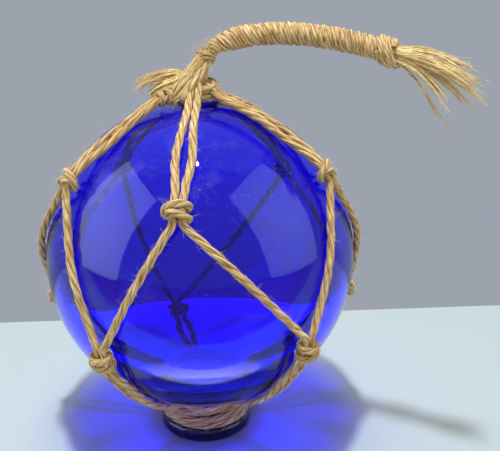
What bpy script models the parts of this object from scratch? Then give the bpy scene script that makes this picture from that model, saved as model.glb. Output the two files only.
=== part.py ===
"""Glass float ball in a hand-knotted twine net.

A blown glass ball stands on its own round glass foot. Ten twine cords run down over the
ball in five pairs. Each pair is tied once above the middle, its two cords part to the
neighbouring knots below the middle, and the new pairs end on a three-turn twine collar
round the foot's waist. On top the cords meet under a crown knot, and their bundled tails
rise as a stiff whipped handle that ends in a frayed tassel.

The frame: metres, +Z up, origin at the centre of the foot's underside, front towards -Y.
"""
import math

import bmesh
import bpy
from mathutils import Matrix, Vector

# Glass: a ball, a waist under it and a foot disc
BALL_DIAMETER = 0.150
WAIST_DIAMETER = 0.039
FOOT_DIAMETER = 0.047
FOOT_HEIGHT = 0.007
FOOT_EDGE_ROUND = 0.002
GLASS_SIDES = 36
GLASS_RINGS = 16
FOOT_CORNER_STEPS = 2

# Net twine, the thinner twine tied round it, and the gap that touching pieces keep
TWINE_DIAMETER = 0.0037
WRAP_DIAMETER = 0.0031
CLEARANCE = 0.0003
COLLAR_TURNS = 3
COLLAR_SIDES = 20
COIL_SIDES = 10

# Knots as tied: degrees round from the front (right is positive) and degrees of latitude
UPPER_KNOTS = [(-142.0, 24.0), (-60.0, 36.0), (-7.5, 32.0), (60.0, 37.0), (138.0, 23.0)]
LOWER_KNOTS = [(-100.0, -18.0), (-34.5, -17.5), (35.0, -16.5), (98.0, -18.5), (196.0, -47.0)]
KNOT_TURNS = 2
KNOT_SQUEEZE = 0.8
KNOT_MOUTH = 0.0015
SQUEEZE_FADE = 0.007
PAIR_SLIT = 0.0016

# How the cords run between knots: points in each stretch, and where along it a pair gapes most
PAIR_STEPS = 6
PARTED_STEPS = 8
SLIT_PEAK_ABOVE = 0.72
SLIT_PEAK_BELOW = 0.35

# Crown: where the cords stop, the lump that ties them and the knot on the left pair.
# Its ridges turn by the slant, in radians, from the lump's bottom to its top.
CROWN_OPENING = 0.0165
CROWN_LIFT = 0.0018
CROWN_KNOT_WIDTH = 0.023
CROWN_KNOT_HEIGHT = 0.0075
CROWN_KNOT_SHIFT = -0.0025
CROWN_RIDGE = 0.07
CROWN_RIDGES = 3
CROWN_SLANT = 0.45
CROWN_SIDES = 15
# Its rounded side from the rim upwards, as shares of its half width and of its height
CROWN_OUTLINE = [(0.92, 0.0), (1.0, 0.3), (0.97, 0.6), (0.82, 0.88), (0.6, 1.0)]
SIDE_KNOT_PAIR = 1
SIDE_KNOT_DISTANCE = 0.0178
SIDE_KNOT_TURNS = 2

# Neck and whipped tail: a Bezier line from the binding to the tassel
NECK_HEIGHT = 0.0225
NECK_LEAN = 0.0048
NECK_BASE_DIAMETER = 0.0105
NECK_TOP_DIAMETER = 0.0062
NECK_STUMP = 0.0013
NECK_TAPER_SHARE = 0.5
NECK_STEPS = 6
BINDING_DIAMETER = 0.0014
BINDING_TURNS = 2
TAIL_DIAMETER = 0.0104
TAIL_END_DIAMETER = 0.0088
TAIL_GAP = 0.03
TAIL_SPAN = 0.0848
TAIL_SWING = -17.5
TAIL_RISE = 0.0008
TAIL_START_ANGLE = 40.0
TAIL_START_HANDLE = 0.015
TAIL_END_SWING = -30.0
TAIL_END_DIP = 15.0
TAIL_END_HANDLE = 0.045
TAIL_SWELL_SHARE = 0.2
TAIL_THIN_SHARE = 0.05
TAIL_STEPS = 18
END_COLLAR_TURNS = 2
END_COLLAR_DIAMETER = 0.0021

# Tassel: the middle lock, then six round it from the top on, as (length, fan, drop, arch)
LOCK_ROOT_DIAMETER = 0.0027
LOCK_TIP_SHARE = 0.25
LOCK_STEPS = 6
TASSEL_LOCKS = [
    (0.045, 0.000, 0.006, 0.002),
    (0.037, 0.003, -0.001, 0.005),
    (0.040, 0.006, 0.003, 0.003),
    (0.036, 0.007, 0.008, 0.001),
    (0.032, 0.004, 0.020, 0.000),
    (0.034, 0.007, 0.011, 0.001),
    (0.043, 0.006, 0.005, 0.004),
]

# The short cut end beside the crown knot: it rises a little, comes forward and droops
FRAYED_END_LENGTH = 0.018
FRAYED_END_DROP = 0.009
FRAYED_END_ARCH = 0.003
FRAYED_END_DRIFT = 0.002
FRAYED_TIP_SHARE = 0.3
FRAYED_STEPS = 6

BALL_RADIUS = BALL_DIAMETER / 2
WAIST_RADIUS = WAIST_DIAMETER / 2
FOOT_RADIUS = FOOT_DIAMETER / 2
TWINE_RADIUS = TWINE_DIAMETER / 2
WRAP_RADIUS = WRAP_DIAMETER / 2
TWINE_PITCH = TWINE_DIAMETER + CLEARANCE
COLLAR_RADIUS = WAIST_RADIUS + CLEARANCE + TWINE_RADIUS
COLLAR_TOP = FOOT_HEIGHT + COLLAR_TURNS * TWINE_PITCH
CORD_PATH_RADIUS = BALL_RADIUS + CLEARANCE + TWINE_RADIUS
CORD_END_HEIGHT = COLLAR_TOP + CLEARANCE + TWINE_RADIUS
BALL_CENTRE = Vector((0, 0, CORD_END_HEIGHT + math.sqrt(CORD_PATH_RADIUS**2 - COLLAR_RADIUS**2)))
BALL_TOP = BALL_CENTRE.z + BALL_RADIUS
KNOT_CORD_RADIUS = TWINE_RADIUS * KNOT_SQUEEZE
KNOT_LIFT = CLEARANCE + WRAP_DIAMETER + CLEARANCE + KNOT_CORD_RADIUS
WRAP_PITCH = WRAP_DIAMETER + CLEARANCE
KNOT_HALF_RUN = (KNOT_TURNS * WRAP_PITCH + WRAP_DIAMETER) / 2 + KNOT_MOUTH
SIDE_KNOT_HALF_RUN = (SIDE_KNOT_TURNS * WRAP_PITCH + WRAP_DIAMETER) / 2 + KNOT_MOUTH


def clear_scene():
    """Remove whatever the file starts with."""
    for old in list(bpy.data.objects):
        bpy.data.objects.remove(old, do_unlink=True)


def make_material(name, colour, roughness, alpha=1.0):
    """A Principled material with one colour."""
    material = bpy.data.materials.new(name)
    material.use_nodes = True
    shader = material.node_tree.nodes["Principled BSDF"]
    shader.inputs["Base Color"].default_value = (*colour, 1.0)
    shader.inputs["Roughness"].default_value = roughness
    shader.inputs["Metallic"].default_value = 0.0
    shader.inputs["Alpha"].default_value = alpha
    return material


def add_mesh(name, bm, material):
    """Turn a bmesh into a smooth-shaded object of its own."""
    bmesh.ops.recalc_face_normals(bm, faces=bm.faces)
    mesh = bpy.data.meshes.new(name)
    bm.to_mesh(mesh)
    bm.free()
    mesh.shade_smooth()
    mesh.set_sharp_from_angle(angle=math.radians(40))
    mesh.materials.append(material)
    body = bpy.data.objects.new(name, mesh)
    bpy.context.collection.objects.link(body)
    return body


def add_tube(name, points, radii, material, sides_level, closed=False):
    """A round tube through the points, as thick at each as its radius says."""
    curve = bpy.data.curves.new(name, "CURVE")
    curve.dimensions = "3D"
    curve.resolution_u = 1
    curve.render_resolution_u = 0
    curve.bevel_depth = 1.0
    curve.bevel_resolution = sides_level
    curve.use_fill_caps = True
    spline = curve.splines.new("POLY")
    spline.points.add(len(points) - 1)
    for slot, point, radius in zip(spline.points, points, radii):
        slot.co = (*point, 1.0)
        slot.radius = radius
    spline.use_cyclic_u = closed
    spline.use_smooth = True
    curve.materials.append(material)
    tube = bpy.data.objects.new(name, curve)
    bpy.context.collection.objects.link(tube)
    return tube


def smooth_step(share):
    """Ease from 0 to 1, flat at both ends."""
    share = min(max(share, 0.0), 1.0)
    return share * share * (3 - 2 * share)


def bezier(start, start_handle, end_handle, end, share):
    """One point of a cubic Bezier line."""
    rest = 1 - share
    return (start * rest**3 + start_handle * 3 * rest**2 * share
            + end_handle * 3 * rest * share**2 + end * share**3)


def outward(azimuth, latitude):
    """Unit vector from the ball's centre; azimuth 0 is the front, positive to the right."""
    turn, rise = math.radians(azimuth), math.radians(latitude)
    return Vector((math.cos(rise) * math.sin(turn), -math.cos(rise) * math.cos(turn), math.sin(rise)))


def surface_frame(azimuth, latitude):
    """The right, downhill and outward unit vectors at a place on the ball."""
    turn = math.radians(azimuth)
    normal = outward(azimuth, latitude)
    right = Vector((math.cos(turn), math.sin(turn), 0))
    return right, normal.cross(right) * -1, normal


def glass_outline():
    """Half profile of the glass in the XZ plane, from the foot's centre up to the ball's top."""
    points = [(0.0, 0.0)]
    inner = FOOT_RADIUS - FOOT_EDGE_ROUND
    for low, start in ((FOOT_EDGE_ROUND, -90), (FOOT_HEIGHT - FOOT_EDGE_ROUND, 0)):
        for step in range(FOOT_CORNER_STEPS + 1):
            angle = math.radians(start + 90 * step / FOOT_CORNER_STEPS)
            corner = FOOT_EDGE_ROUND * math.cos(angle), FOOT_EDGE_ROUND * math.sin(angle)
            points.append((inner + corner[0], low + corner[1]))
    points.append((WAIST_RADIUS, FOOT_HEIGHT))
    lowest = -math.acos(WAIST_RADIUS / BALL_RADIUS)
    for ring in range(GLASS_RINGS + 1):
        angle = lowest + (math.pi / 2 - lowest) * ring / GLASS_RINGS
        across = 0.0 if ring == GLASS_RINGS else BALL_RADIUS * math.cos(angle)
        points.append((across, BALL_CENTRE.z + BALL_RADIUS * math.sin(angle)))
    return points


def spin_outline(outline, steps):
    """Spin a half profile of (across, height) points about the Z axis into a closed body."""
    bm = bmesh.new()
    verts = [bm.verts.new((across, 0, height)) for across, height in outline]
    edges = [bm.edges.new(pair) for pair in zip(verts, verts[1:])]
    bmesh.ops.spin(bm, geom=verts + edges, cent=(0, 0, 0), axis=(0, 0, 1),
                   angle=2 * math.pi, steps=steps, use_merge=True)
    bmesh.ops.remove_doubles(bm, verts=bm.verts, dist=0.00001)
    return bm


def build_glass(material):
    """Spin the outline into the ball with its waist and foot, one piece of glass."""
    return add_mesh("glass_ball", spin_outline(glass_outline(), GLASS_SIDES), material)


def build_collar(material):
    """Three turns of twine lie one on another round the waist."""
    for turn in range(COLLAR_TURNS):
        height = Vector((0, 0, FOOT_HEIGHT + CLEARANCE + TWINE_RADIUS + turn * TWINE_PITCH))
        points = []
        for step in range(COLLAR_SIDES):
            angle = 2 * math.pi * step / COLLAR_SIDES
            points.append(Vector((math.cos(angle), math.sin(angle), 0)) * COLLAR_RADIUS + height)
        radii = [TWINE_RADIUS] * COLLAR_SIDES
        add_tube(f"collar_turn_{turn + 1}", points, radii, material, 1, closed=True)


def knot_stretch(azimuth, latitude, side, half_run):
    """The straight stretch of one cord through a knot; side -1 is its left cord, 1 its right."""
    right, down, normal = surface_frame(azimuth, latitude)
    middle = BALL_CENTRE + normal * (BALL_RADIUS + KNOT_LIFT)
    aside = right * side * (KNOT_CORD_RADIUS + CLEARANCE / 2)
    return [middle + aside + down * run for run in (-half_run, 0, half_run)]


def taut_radius(end_radius, angle):
    """How far from the ball's centre a taut cord is, at an angle from its raised end."""
    lift_off = math.acos(min(CORD_PATH_RADIUS / end_radius, 1.0))
    return CORD_PATH_RADIUS / math.cos(max(lift_off - angle, 0.0))


def span(start, end, steps, squeezed_start, squeezed_end):
    """Points of a taut cord over the ball between two ends, with the cord's radius at each."""
    from_centre, to_centre = start - BALL_CENTRE, end - BALL_CENTRE
    arc = from_centre.angle(to_centre)
    rows = []
    for step in range(steps + 1):
        share = step / steps
        direction = from_centre.normalized().slerp(to_centre.normalized(), share)
        reach = max(taut_radius(from_centre.length, arc * share),
                    taut_radius(to_centre.length, arc * (1 - share)))
        squeeze = 1.0
        if squeezed_start:
            squeeze = min(squeeze, cord_squeeze(arc * share * BALL_RADIUS))
        if squeezed_end:
            squeeze = min(squeeze, cord_squeeze(arc * (1 - share) * BALL_RADIUS))
        rows.append((BALL_CENTRE + direction * reach, TWINE_RADIUS * squeeze, share))
    return rows


def cord_squeeze(distance):
    """Share of its thickness that a cord keeps, at a distance from a knot."""
    return KNOT_SQUEEZE + (1 - KNOT_SQUEEZE) * smooth_step(distance / SQUEEZE_FADE)


def pair_span(start, end, side, azimuth, squeezed_start, squeezed_end, slit_peak):
    """One cord of a pair: the pair's middle line, moved aside by its radius and half the slit."""
    right = surface_frame(azimuth, 0)[0]
    rows = []
    for point, radius, share in span(start, end, PAIR_STEPS, squeezed_start, squeezed_end):
        warped = share ** (math.log(0.5) / math.log(slit_peak))
        aside = radius + CLEARANCE / 2 + PAIR_SLIT * math.sin(math.pi * warped) ** 2
        rows.append((point + right * side * aside, radius, share))
    return rows


def crown_end(azimuth):
    """Middle of a pair where it stops under the crown knot."""
    flat = outward(azimuth, 0) * (CROWN_OPENING / 2)
    reach = CORD_PATH_RADIUS + CROWN_LIFT
    return BALL_CENTRE + flat + Vector((0, 0, math.sqrt(reach**2 - flat.length_squared)))


def side_knot_latitude():
    """Latitude of the extra knot on the left pair, from its distance to the ball's axis."""
    return math.degrees(math.acos(SIDE_KNOT_DISTANCE / (BALL_RADIUS + KNOT_LIFT)))


def mid_point(azimuth, latitude, run):
    """A place on a knot's middle line, at a run downhill from the knot's centre."""
    left = knot_stretch(azimuth, latitude, 0, abs(run))
    return left[2] if run > 0 else left[0]


def collar_end(azimuth):
    """Middle of a pair where it stops on the collar, against the waist."""
    inner = WAIST_RADIUS + 2 * CLEARANCE
    drop = math.sqrt(CORD_PATH_RADIUS**2 - inner**2)
    return BALL_CENTRE + outward(azimuth, 0) * inner - Vector((0, 0, drop))


def cord_rows(pair, side):
    """The whole route of one cord, crown to collar, as points and radii."""
    azimuth, latitude = UPPER_KNOTS[pair]
    lower = LOWER_KNOTS[pair if side > 0 else pair - 1]
    rows = []
    start = crown_end(azimuth)
    if pair == SIDE_KNOT_PAIR:
        knot = (azimuth, side_knot_latitude())
        rows += [(point, KNOT_CORD_RADIUS) for point in knot_stretch(*knot, side, SIDE_KNOT_HALF_RUN)]
        start = mid_point(*knot, SIDE_KNOT_HALF_RUN)
    upper_span = pair_span(start, mid_point(azimuth, latitude, -KNOT_HALF_RUN), side, azimuth,
                           pair == SIDE_KNOT_PAIR, True, SLIT_PEAK_ABOVE)
    rows += [(point, radius) for point, radius, share in upper_span[bool(rows):-1]]
    rows += [(point, KNOT_CORD_RADIUS) for point in knot_stretch(azimuth, latitude, side, KNOT_HALF_RUN)]
    lower_run = knot_stretch(*lower, -side, KNOT_HALF_RUN)
    parted = span(rows[-1][0], lower_run[0], PARTED_STEPS, True, True)
    rows += [(point, radius) for point, radius, share in parted[1:-1]]
    rows += [(point, KNOT_CORD_RADIUS) for point in lower_run]
    lower_span = pair_span(mid_point(*lower, KNOT_HALF_RUN), collar_end(lower[0]), -side, lower[0],
                           True, False, SLIT_PEAK_BELOW)
    rows += [(point, radius) for point, radius, share in lower_span[1:]]
    return rows


def build_cords(material):
    """The ten cords of the net, numbered from the left of the back round to the right."""
    for pair in range(len(UPPER_KNOTS)):
        for side, word in ((-1, "left"), (1, "right")):
            rows = cord_rows(pair, side)
            add_tube(f"net_cord_{pair + 1}_{word}", [row[0] for row in rows], [row[1] for row in rows],
                     material, 1)


def oval_coil(frame, half_gap, reach, turns, pitch):
    """Points of a coil round two cords side by side: two half circles joined by straights."""
    points = []
    count = round(turns * COIL_SIDES)
    steepness = 1.6
    for step in range(count + 1):
        share = step / count
        angle = 2 * math.pi * turns * share - math.pi / 2
        shift = half_gap * max(-1.0, min(1.0, steepness * math.cos(angle)))
        along = pitch * turns * (share - 0.5)
        points.append(frame @ Vector((shift + reach * math.cos(angle), along, reach * math.sin(angle))))
    return points


def knot_frame(azimuth, latitude):
    """Local frame of a knot: X to the right, Y downhill, Z outward, origin between its cords."""
    right, down, normal = surface_frame(azimuth, latitude)
    frame = Matrix((right, down, normal)).transposed().to_4x4()
    frame.translation = BALL_CENTRE + normal * (BALL_RADIUS + KNOT_LIFT)
    return frame


def build_knot(name, azimuth, latitude, turns, material):
    """A knot is the twine that turns tightly round both cords."""
    half_gap = KNOT_CORD_RADIUS + CLEARANCE / 2
    reach = KNOT_CORD_RADIUS + CLEARANCE + WRAP_RADIUS
    points = oval_coil(knot_frame(azimuth, latitude), half_gap, reach, turns, WRAP_PITCH)
    add_tube(name, points, [WRAP_RADIUS] * len(points), material, 1)


def build_knots(material):
    """Five knots above the middle, five below, and one beside the crown."""
    for index, place in enumerate(UPPER_KNOTS):
        build_knot(f"upper_knot_{index + 1}", *place, KNOT_TURNS, material)
    for index, place in enumerate(LOWER_KNOTS):
        build_knot(f"lower_knot_{index + 1}", *place, KNOT_TURNS, material)
    azimuth = UPPER_KNOTS[SIDE_KNOT_PAIR][0]
    build_knot("crown_side_knot", azimuth, side_knot_latitude(), SIDE_KNOT_TURNS, material)


def crown_base():
    """Height of the crown knot's underside, just over the highest cord below it."""
    cord_top = crown_end(0).z + TWINE_RADIUS
    side_pair = mid_point(UPPER_KNOTS[SIDE_KNOT_PAIR][0], side_knot_latitude(), -SIDE_KNOT_HALF_RUN)
    return max(cord_top, side_pair.z + KNOT_CORD_RADIUS) + CLEARANCE


def crown_ridge(angle):
    """Swell of the crown knot's slanting turns, round its waist."""
    return 1 + CROWN_RIDGE * math.cos(CROWN_RIDGES * angle)


def build_crown_knot(material):
    """The lump that ties the cords: its rim presses on them, its core fills the hole between."""
    base, half_width = crown_base(), CROWN_KNOT_WIDTH / 2
    core = CROWN_OPENING / 2 - 2 * CLEARANCE
    outline = [(0.0, BALL_TOP + CLEARANCE), (core, BALL_TOP + CLEARANCE), (core, base)]
    outline += [(half_width * share, base + CROWN_KNOT_HEIGHT * rise) for share, rise in CROWN_OUTLINE]
    outline.append((0.0, base + CROWN_KNOT_HEIGHT))
    bm = spin_outline(outline, CROWN_SIDES)
    for vert in bm.verts:
        if vert.co.z > base - CLEARANCE and vert.co.xy.length > core + CLEARANCE:
            rise = (vert.co.z - base) / CROWN_KNOT_HEIGHT
            slanted = math.atan2(vert.co.y, vert.co.x) + CROWN_SLANT * rise
            vert.co.xy *= crown_ridge(slanted)
            vert.co.x += CROWN_KNOT_SHIFT
    return add_mesh("crown_knot", bm, material)


def tail_start():
    """Top of the neck, where the bundled cords bend over into the tail."""
    return Vector((NECK_LEAN, 0, BALL_TOP + NECK_HEIGHT))


def tail_point(share):
    """Centre line of the tail from the binding (0) to the tassel's root (1)."""
    start = tail_start()
    swing, end_swing = math.radians(TAIL_SWING), math.radians(TAIL_END_SWING)
    rise, dip = math.radians(TAIL_START_ANGLE), math.radians(TAIL_END_DIP)
    end = start + Vector((TAIL_SPAN * math.cos(swing), TAIL_SPAN * math.sin(swing), TAIL_RISE))
    start_handle = start + Vector((math.cos(rise), 0, math.sin(rise))) * TAIL_START_HANDLE
    level_way = Vector((math.cos(end_swing), math.sin(end_swing), 0))
    end_way = level_way * math.cos(dip) - Vector((0, 0, math.sin(dip)))
    return bezier(start, start_handle, end - end_way * TAIL_END_HANDLE, end, share)


def tail_end_way():
    """Unit vector in which the tail points where it ends."""
    return (tail_point(1.0) - tail_point(0.97)).normalized()


def build_neck(material):
    """The bundled cords between the crown knot and the whipping, drawn in towards the top."""
    foot = Vector((CROWN_KNOT_SHIFT / 2, 0, crown_base() + CROWN_KNOT_HEIGHT + CLEARANCE))
    top = tail_start()
    lift = Vector((0, 0, NECK_STUMP))
    points, radii = [foot], [NECK_BASE_DIAMETER / 2]
    for step in range(NECK_STEPS + 1):
        share = step / NECK_STEPS
        points.append((foot + lift).lerp(top, share))
        taper = smooth_step(share / NECK_TAPER_SHARE)
        radii.append((NECK_BASE_DIAMETER + (NECK_TOP_DIAMETER - NECK_BASE_DIAMETER) * taper) / 2)
    add_tube("rope_neck", points, radii, material, 2)
    way = (points[-1] - points[-2]).normalized()
    binding_width = BINDING_TURNS * (BINDING_DIAMETER + CLEARANCE) + BINDING_DIAMETER
    build_ring_coil("neck_binding", top - way * binding_width / 2, way, NECK_TOP_DIAMETER / 2,
                    BINDING_DIAMETER, BINDING_TURNS, material)


def build_ring_coil(name, centre, way, bore, thickness, turns, material):
    """A few round turns of thin twine about a line."""
    frame = Matrix.Translation(centre) @ way.to_track_quat("Y", "Z").to_matrix().to_4x4()
    reach = bore + CLEARANCE + thickness / 2
    points = oval_coil(frame, 0.0, reach, turns, thickness + CLEARANCE)
    add_tube(name, points, [thickness / 2] * len(points), material, 1)


def build_tail(material):
    """The whipped stretch: thin twine wound over the bundle, slightly thinner where it ends."""
    collar_width = END_COLLAR_TURNS * (END_COLLAR_DIAMETER + CLEARANCE) + END_COLLAR_DIAMETER
    thin_from = 1 - (collar_width + 2 * CLEARANCE) / TAIL_SPAN
    points, radii = [], []
    for step in range(TAIL_STEPS + 1):
        share = TAIL_GAP + (1 - TAIL_GAP) * step / TAIL_STEPS
        thinning = smooth_step((share - thin_from) / TAIL_THIN_SHARE + 1)
        swell = smooth_step(share / TAIL_SWELL_SHARE) * (1 - thinning)
        points.append(tail_point(share))
        radii.append((TAIL_END_DIAMETER + (TAIL_DIAMETER - TAIL_END_DIAMETER) * swell) / 2)
    add_tube("whipped_tail", points, radii, material, 3)
    way = tail_end_way()
    middle = tail_point(1.0) - way * (collar_width / 2 - CLEARANCE)
    build_ring_coil("end_collar", middle, way, TAIL_END_DIAMETER / 2 + CLEARANCE,
                    END_COLLAR_DIAMETER, END_COLLAR_TURNS, material)


def build_tassel(material):
    """Seven frayed locks, packed as one round bundle at the root and fanned out at the tips."""
    root = tail_point(1.0)
    way = tail_end_way()
    aside = way.cross(Vector((0, 0, 1))).normalized()
    upward = aside.cross(way)
    spacing = LOCK_ROOT_DIAMETER + CLEARANCE
    for index, (length, fan, drop, arch) in enumerate(TASSEL_LOCKS):
        place = Vector((0, 0, 0))
        if index:
            angle = math.pi / 2 + 2 * math.pi * (index - 1) / (len(TASSEL_LOCKS) - 1)
            place = aside * math.cos(angle) + upward * math.sin(angle)
        start = root + way * CLEARANCE + place * spacing
        points, radii = [], []
        for step in range(LOCK_STEPS + 1):
            share = step / LOCK_STEPS
            bend = share * share
            height = arch * math.sin(math.pi * share) ** 2 - drop * bend
            points.append(start + way * length * share + place * fan * bend + Vector((0, 0, height)))
            radii.append(LOCK_ROOT_DIAMETER / 2 * (1 - (1 - LOCK_TIP_SHARE) * bend))
        add_tube(f"tassel_lock_{index + 1}", points, radii, material, 1)


def build_frayed_end(material):
    """One short cut end that sticks out of the crown knot to the left and droops."""
    half_height = CROWN_KNOT_HEIGHT / 2
    side = CROWN_KNOT_WIDTH / 2 * crown_ridge(math.pi + CROWN_SLANT / 2)
    start = Vector((CROWN_KNOT_SHIFT - side - CLEARANCE, 0, crown_base() + half_height))
    points, radii = [], []
    for step in range(FRAYED_STEPS + 1):
        share = step / FRAYED_STEPS
        height = FRAYED_END_ARCH * math.sin(math.pi * share) - FRAYED_END_DROP * share**2
        points.append(start + Vector((-FRAYED_END_LENGTH * share, -FRAYED_END_DRIFT * share, height)))
        radii.append(TWINE_RADIUS * (1 - (1 - FRAYED_TIP_SHARE) * share))
    add_tube("frayed_end", points, radii, material, 2)


def main():
    """Build every piece of the float."""
    clear_scene()
    glass = make_material("cobalt_glass", (0.03, 0.02, 0.55), 0.03, 0.45)
    twine = make_material("jute_twine", (0.56, 0.38, 0.17), 0.85)
    build_glass(glass)
    build_collar(twine)
    build_cords(twine)
    build_knots(twine)
    build_crown_knot(twine)
    build_neck(twine)
    build_tail(twine)
    build_tassel(twine)
    build_frayed_end(twine)


main()
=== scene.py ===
# %% [markdown]
# # A glass float ball in its rope net
#
# This lesson dresses a plain CAD model of a netted glass float: a hollow ball of cobalt glass on
# its own foot, ten cords of hairy jute twine tied into a net, a crown of knots, and a whipped rope
# handle that ends in a frayed tassel. Everything is in metres, with +Z up and the front towards -Y.

# %% Load the fixed frame
import math
import random

import bmesh
import bpy
import numpy as np
from mathutils import Matrix, Vector


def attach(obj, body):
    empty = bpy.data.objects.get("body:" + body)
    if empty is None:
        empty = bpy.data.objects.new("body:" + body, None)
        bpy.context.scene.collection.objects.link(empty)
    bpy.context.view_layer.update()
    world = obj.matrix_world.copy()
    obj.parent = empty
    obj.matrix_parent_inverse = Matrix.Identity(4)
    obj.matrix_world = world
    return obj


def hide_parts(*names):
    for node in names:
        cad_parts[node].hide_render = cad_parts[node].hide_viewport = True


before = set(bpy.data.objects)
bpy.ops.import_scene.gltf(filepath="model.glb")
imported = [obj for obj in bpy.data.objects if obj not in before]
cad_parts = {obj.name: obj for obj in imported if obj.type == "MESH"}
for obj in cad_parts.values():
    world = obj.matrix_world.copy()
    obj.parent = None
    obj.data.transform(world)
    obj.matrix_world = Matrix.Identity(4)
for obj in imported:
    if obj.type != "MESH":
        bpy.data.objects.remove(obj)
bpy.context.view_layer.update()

# %% [markdown]
# ## Sizes
#
# A few driving sizes place everything. They are the ones that the solids were built with, so a
# cord that is drawn here follows the same line over the glass as its solid does.

# %% Name the driving sizes
MM = 0.001
BALL_RADIUS = 75 * MM
WAIST_RADIUS = 19.5 * MM
FOOT_RADIUS = 23.5 * MM
FOOT_HEIGHT = 7 * MM
TWINE_RADIUS = 1.85 * MM
GAP = 0.3 * MM
COLLAR_RADIUS = WAIST_RADIUS + GAP + TWINE_RADIUS
COLLAR_PITCH = 2 * TWINE_RADIUS + GAP
COLLAR_TOP = FOOT_HEIGHT + 3 * COLLAR_PITCH
CORD_PATH_RADIUS = BALL_RADIUS + GAP + TWINE_RADIUS
CORD_END_HEIGHT = COLLAR_TOP + GAP + TWINE_RADIUS
CENTRE = Vector((0, 0, CORD_END_HEIGHT + math.sqrt(CORD_PATH_RADIUS**2 - COLLAR_RADIUS**2)))
BALL_TOP = CENTRE.z + BALL_RADIUS

# Knots of the net: degrees round from the front, positive to the right, and degrees of latitude
UPPER_KNOTS = [(-142.0, 24.0), (-60.0, 36.0), (-7.5, 32.0), (60.0, 37.0), (138.0, 23.0)]
LOWER_KNOTS = [(-100.0, -18.0), (-34.5, -17.5), (35.0, -16.5), (98.0, -18.5), (196.0, -47.0)]
KNOT_LIFT = 5.18 * MM
print(f"ball {2000 * BALL_RADIUS:.0f} mm, its top {1000 * BALL_TOP:.1f} mm up")

# %% [markdown]
# ## Camera
#
# The camera looks down on the ball by about twenty degrees. It first looks at the ball's centre,
# then it is turned a little so that the ball sits left of the middle, and rolled slightly, which
# puts the object where the photograph has it.

# %% Place the camera
IMAGE_WIDTH = 500
IMAGE_CENTRE = (250.0, 225.5)
FOCAL_PIXELS = 749.6
BALL_PIXEL = (201.9, 251.9)
LOOK_DOWN = math.radians(20.7)
ROLL = math.radians(-1.7)
CAMERA_DISTANCE = 5 * BALL_RADIUS

camera_data = bpy.data.cameras.new("photo_camera")
camera_data.sensor_width = 36.0
camera_data.lens = FOCAL_PIXELS * camera_data.sensor_width / IMAGE_WIDTH
camera_data.clip_start = 0.01
camera = bpy.data.objects.new("photo_camera", camera_data)
bpy.context.scene.collection.objects.link(camera)
bpy.context.scene.camera = camera

across = (BALL_PIXEL[0] - IMAGE_CENTRE[0]) / FOCAL_PIXELS
above = (IMAGE_CENTRE[1] - BALL_PIXEL[1]) / FOCAL_PIXELS
level_across = math.cos(ROLL) * across - math.sin(ROLL) * above
level_above = math.sin(ROLL) * across + math.cos(ROLL) * above
yaw = math.atan(level_across)
pitch = -math.atan(level_above * math.cos(yaw))
facing = Matrix.Rotation(math.pi / 2 - LOOK_DOWN, 4, "X")
turn = Matrix.Rotation(yaw, 4, "Y") @ Matrix.Rotation(pitch, 4, "X") @ Matrix.Rotation(ROLL, 4, "Z")
back = Vector((0, -math.cos(LOOK_DOWN), math.sin(LOOK_DOWN)))
camera.matrix_world = Matrix.Translation(CENTRE + back * CAMERA_DISTANCE) @ facing @ turn
print(f"lens {camera_data.lens:.1f} mm, {1000 * CAMERA_DISTANCE:.0f} mm from the ball's centre")

# %% [markdown]
# ## Helpers for materials
#
# Materials are graphs of nodes. In the editor they are dragged and wired by hand; in a script each
# node takes three or four lines. These helpers make it one line, so that a finish reads as a recipe.

# %% Helpers for node trees


def principled(name, colour, roughness):
    """A new material with its shader's plain values set."""
    material = bpy.data.materials.new(name)
    material.use_nodes = True
    shader = material.node_tree.nodes["Principled BSDF"]
    shader.inputs["Base Color"].default_value = colour
    shader.inputs["Roughness"].default_value = roughness
    return material, shader


def add_node(tree, kind, links=(), **values):
    """Add a node, set its properties and input values, and link (socket, input) pairs."""
    node = tree.nodes.new(kind)
    for key, value in values.items():
        if hasattr(node, key):
            setattr(node, key, value)
        else:
            node.inputs[key.replace("_", " ")].default_value = value
    for output, name in links:
        tree.links.new(output, node.inputs[name])
    return node


def feed(tree, socket, value):
    """Give an input its value: a link from another socket, or a plain number or colour."""
    if isinstance(value, bpy.types.NodeSocket):
        tree.links.new(value, socket)
    else:
        socket.default_value = value


def calculate(tree, operation, first, second=0.0):
    """A math node on sockets or numbers."""
    node = add_node(tree, "ShaderNodeMath", operation=operation)
    feed(tree, node.inputs[0], first)
    feed(tree, node.inputs[1], second)
    return node.outputs[0]


def map_range(tree, value, from_range=(0.0, 1.0), to_range=(0.0, 1.0), interpolation="LINEAR"):
    """Carry a value from one range over to another, without leaving it."""
    node = add_node(tree, "ShaderNodeMapRange", [(value, "Value")], interpolation_type=interpolation)
    node.inputs["From Min"].default_value, node.inputs["From Max"].default_value = from_range
    node.inputs["To Min"].default_value, node.inputs["To Max"].default_value = to_range
    return node.outputs["Result"]


def mix_colours(tree, factor, first, second, blend="MIX"):
    """Mix two colours, each a value or a socket, by a factor."""
    node = add_node(tree, "ShaderNodeMix", data_type="RGBA", blend_type=blend)
    feed(tree, node.inputs["Factor"], factor)
    feed(tree, node.inputs["A"], first)
    feed(tree, node.inputs["B"], second)
    return node.outputs["Result"]


def colour_ramp(tree, factor, stops):
    """A colour ramp with two or three (position, colour) stops."""
    node = add_node(tree, "ShaderNodeValToRGB", [(factor, "Fac")])
    elements = node.color_ramp.elements
    while len(elements) < len(stops):
        elements.new(0.5)
    for element, (position, colour) in zip(elements, stops):
        element.position = position
        element.color = (*colour, 1)
    return node.outputs["Color"]


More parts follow.
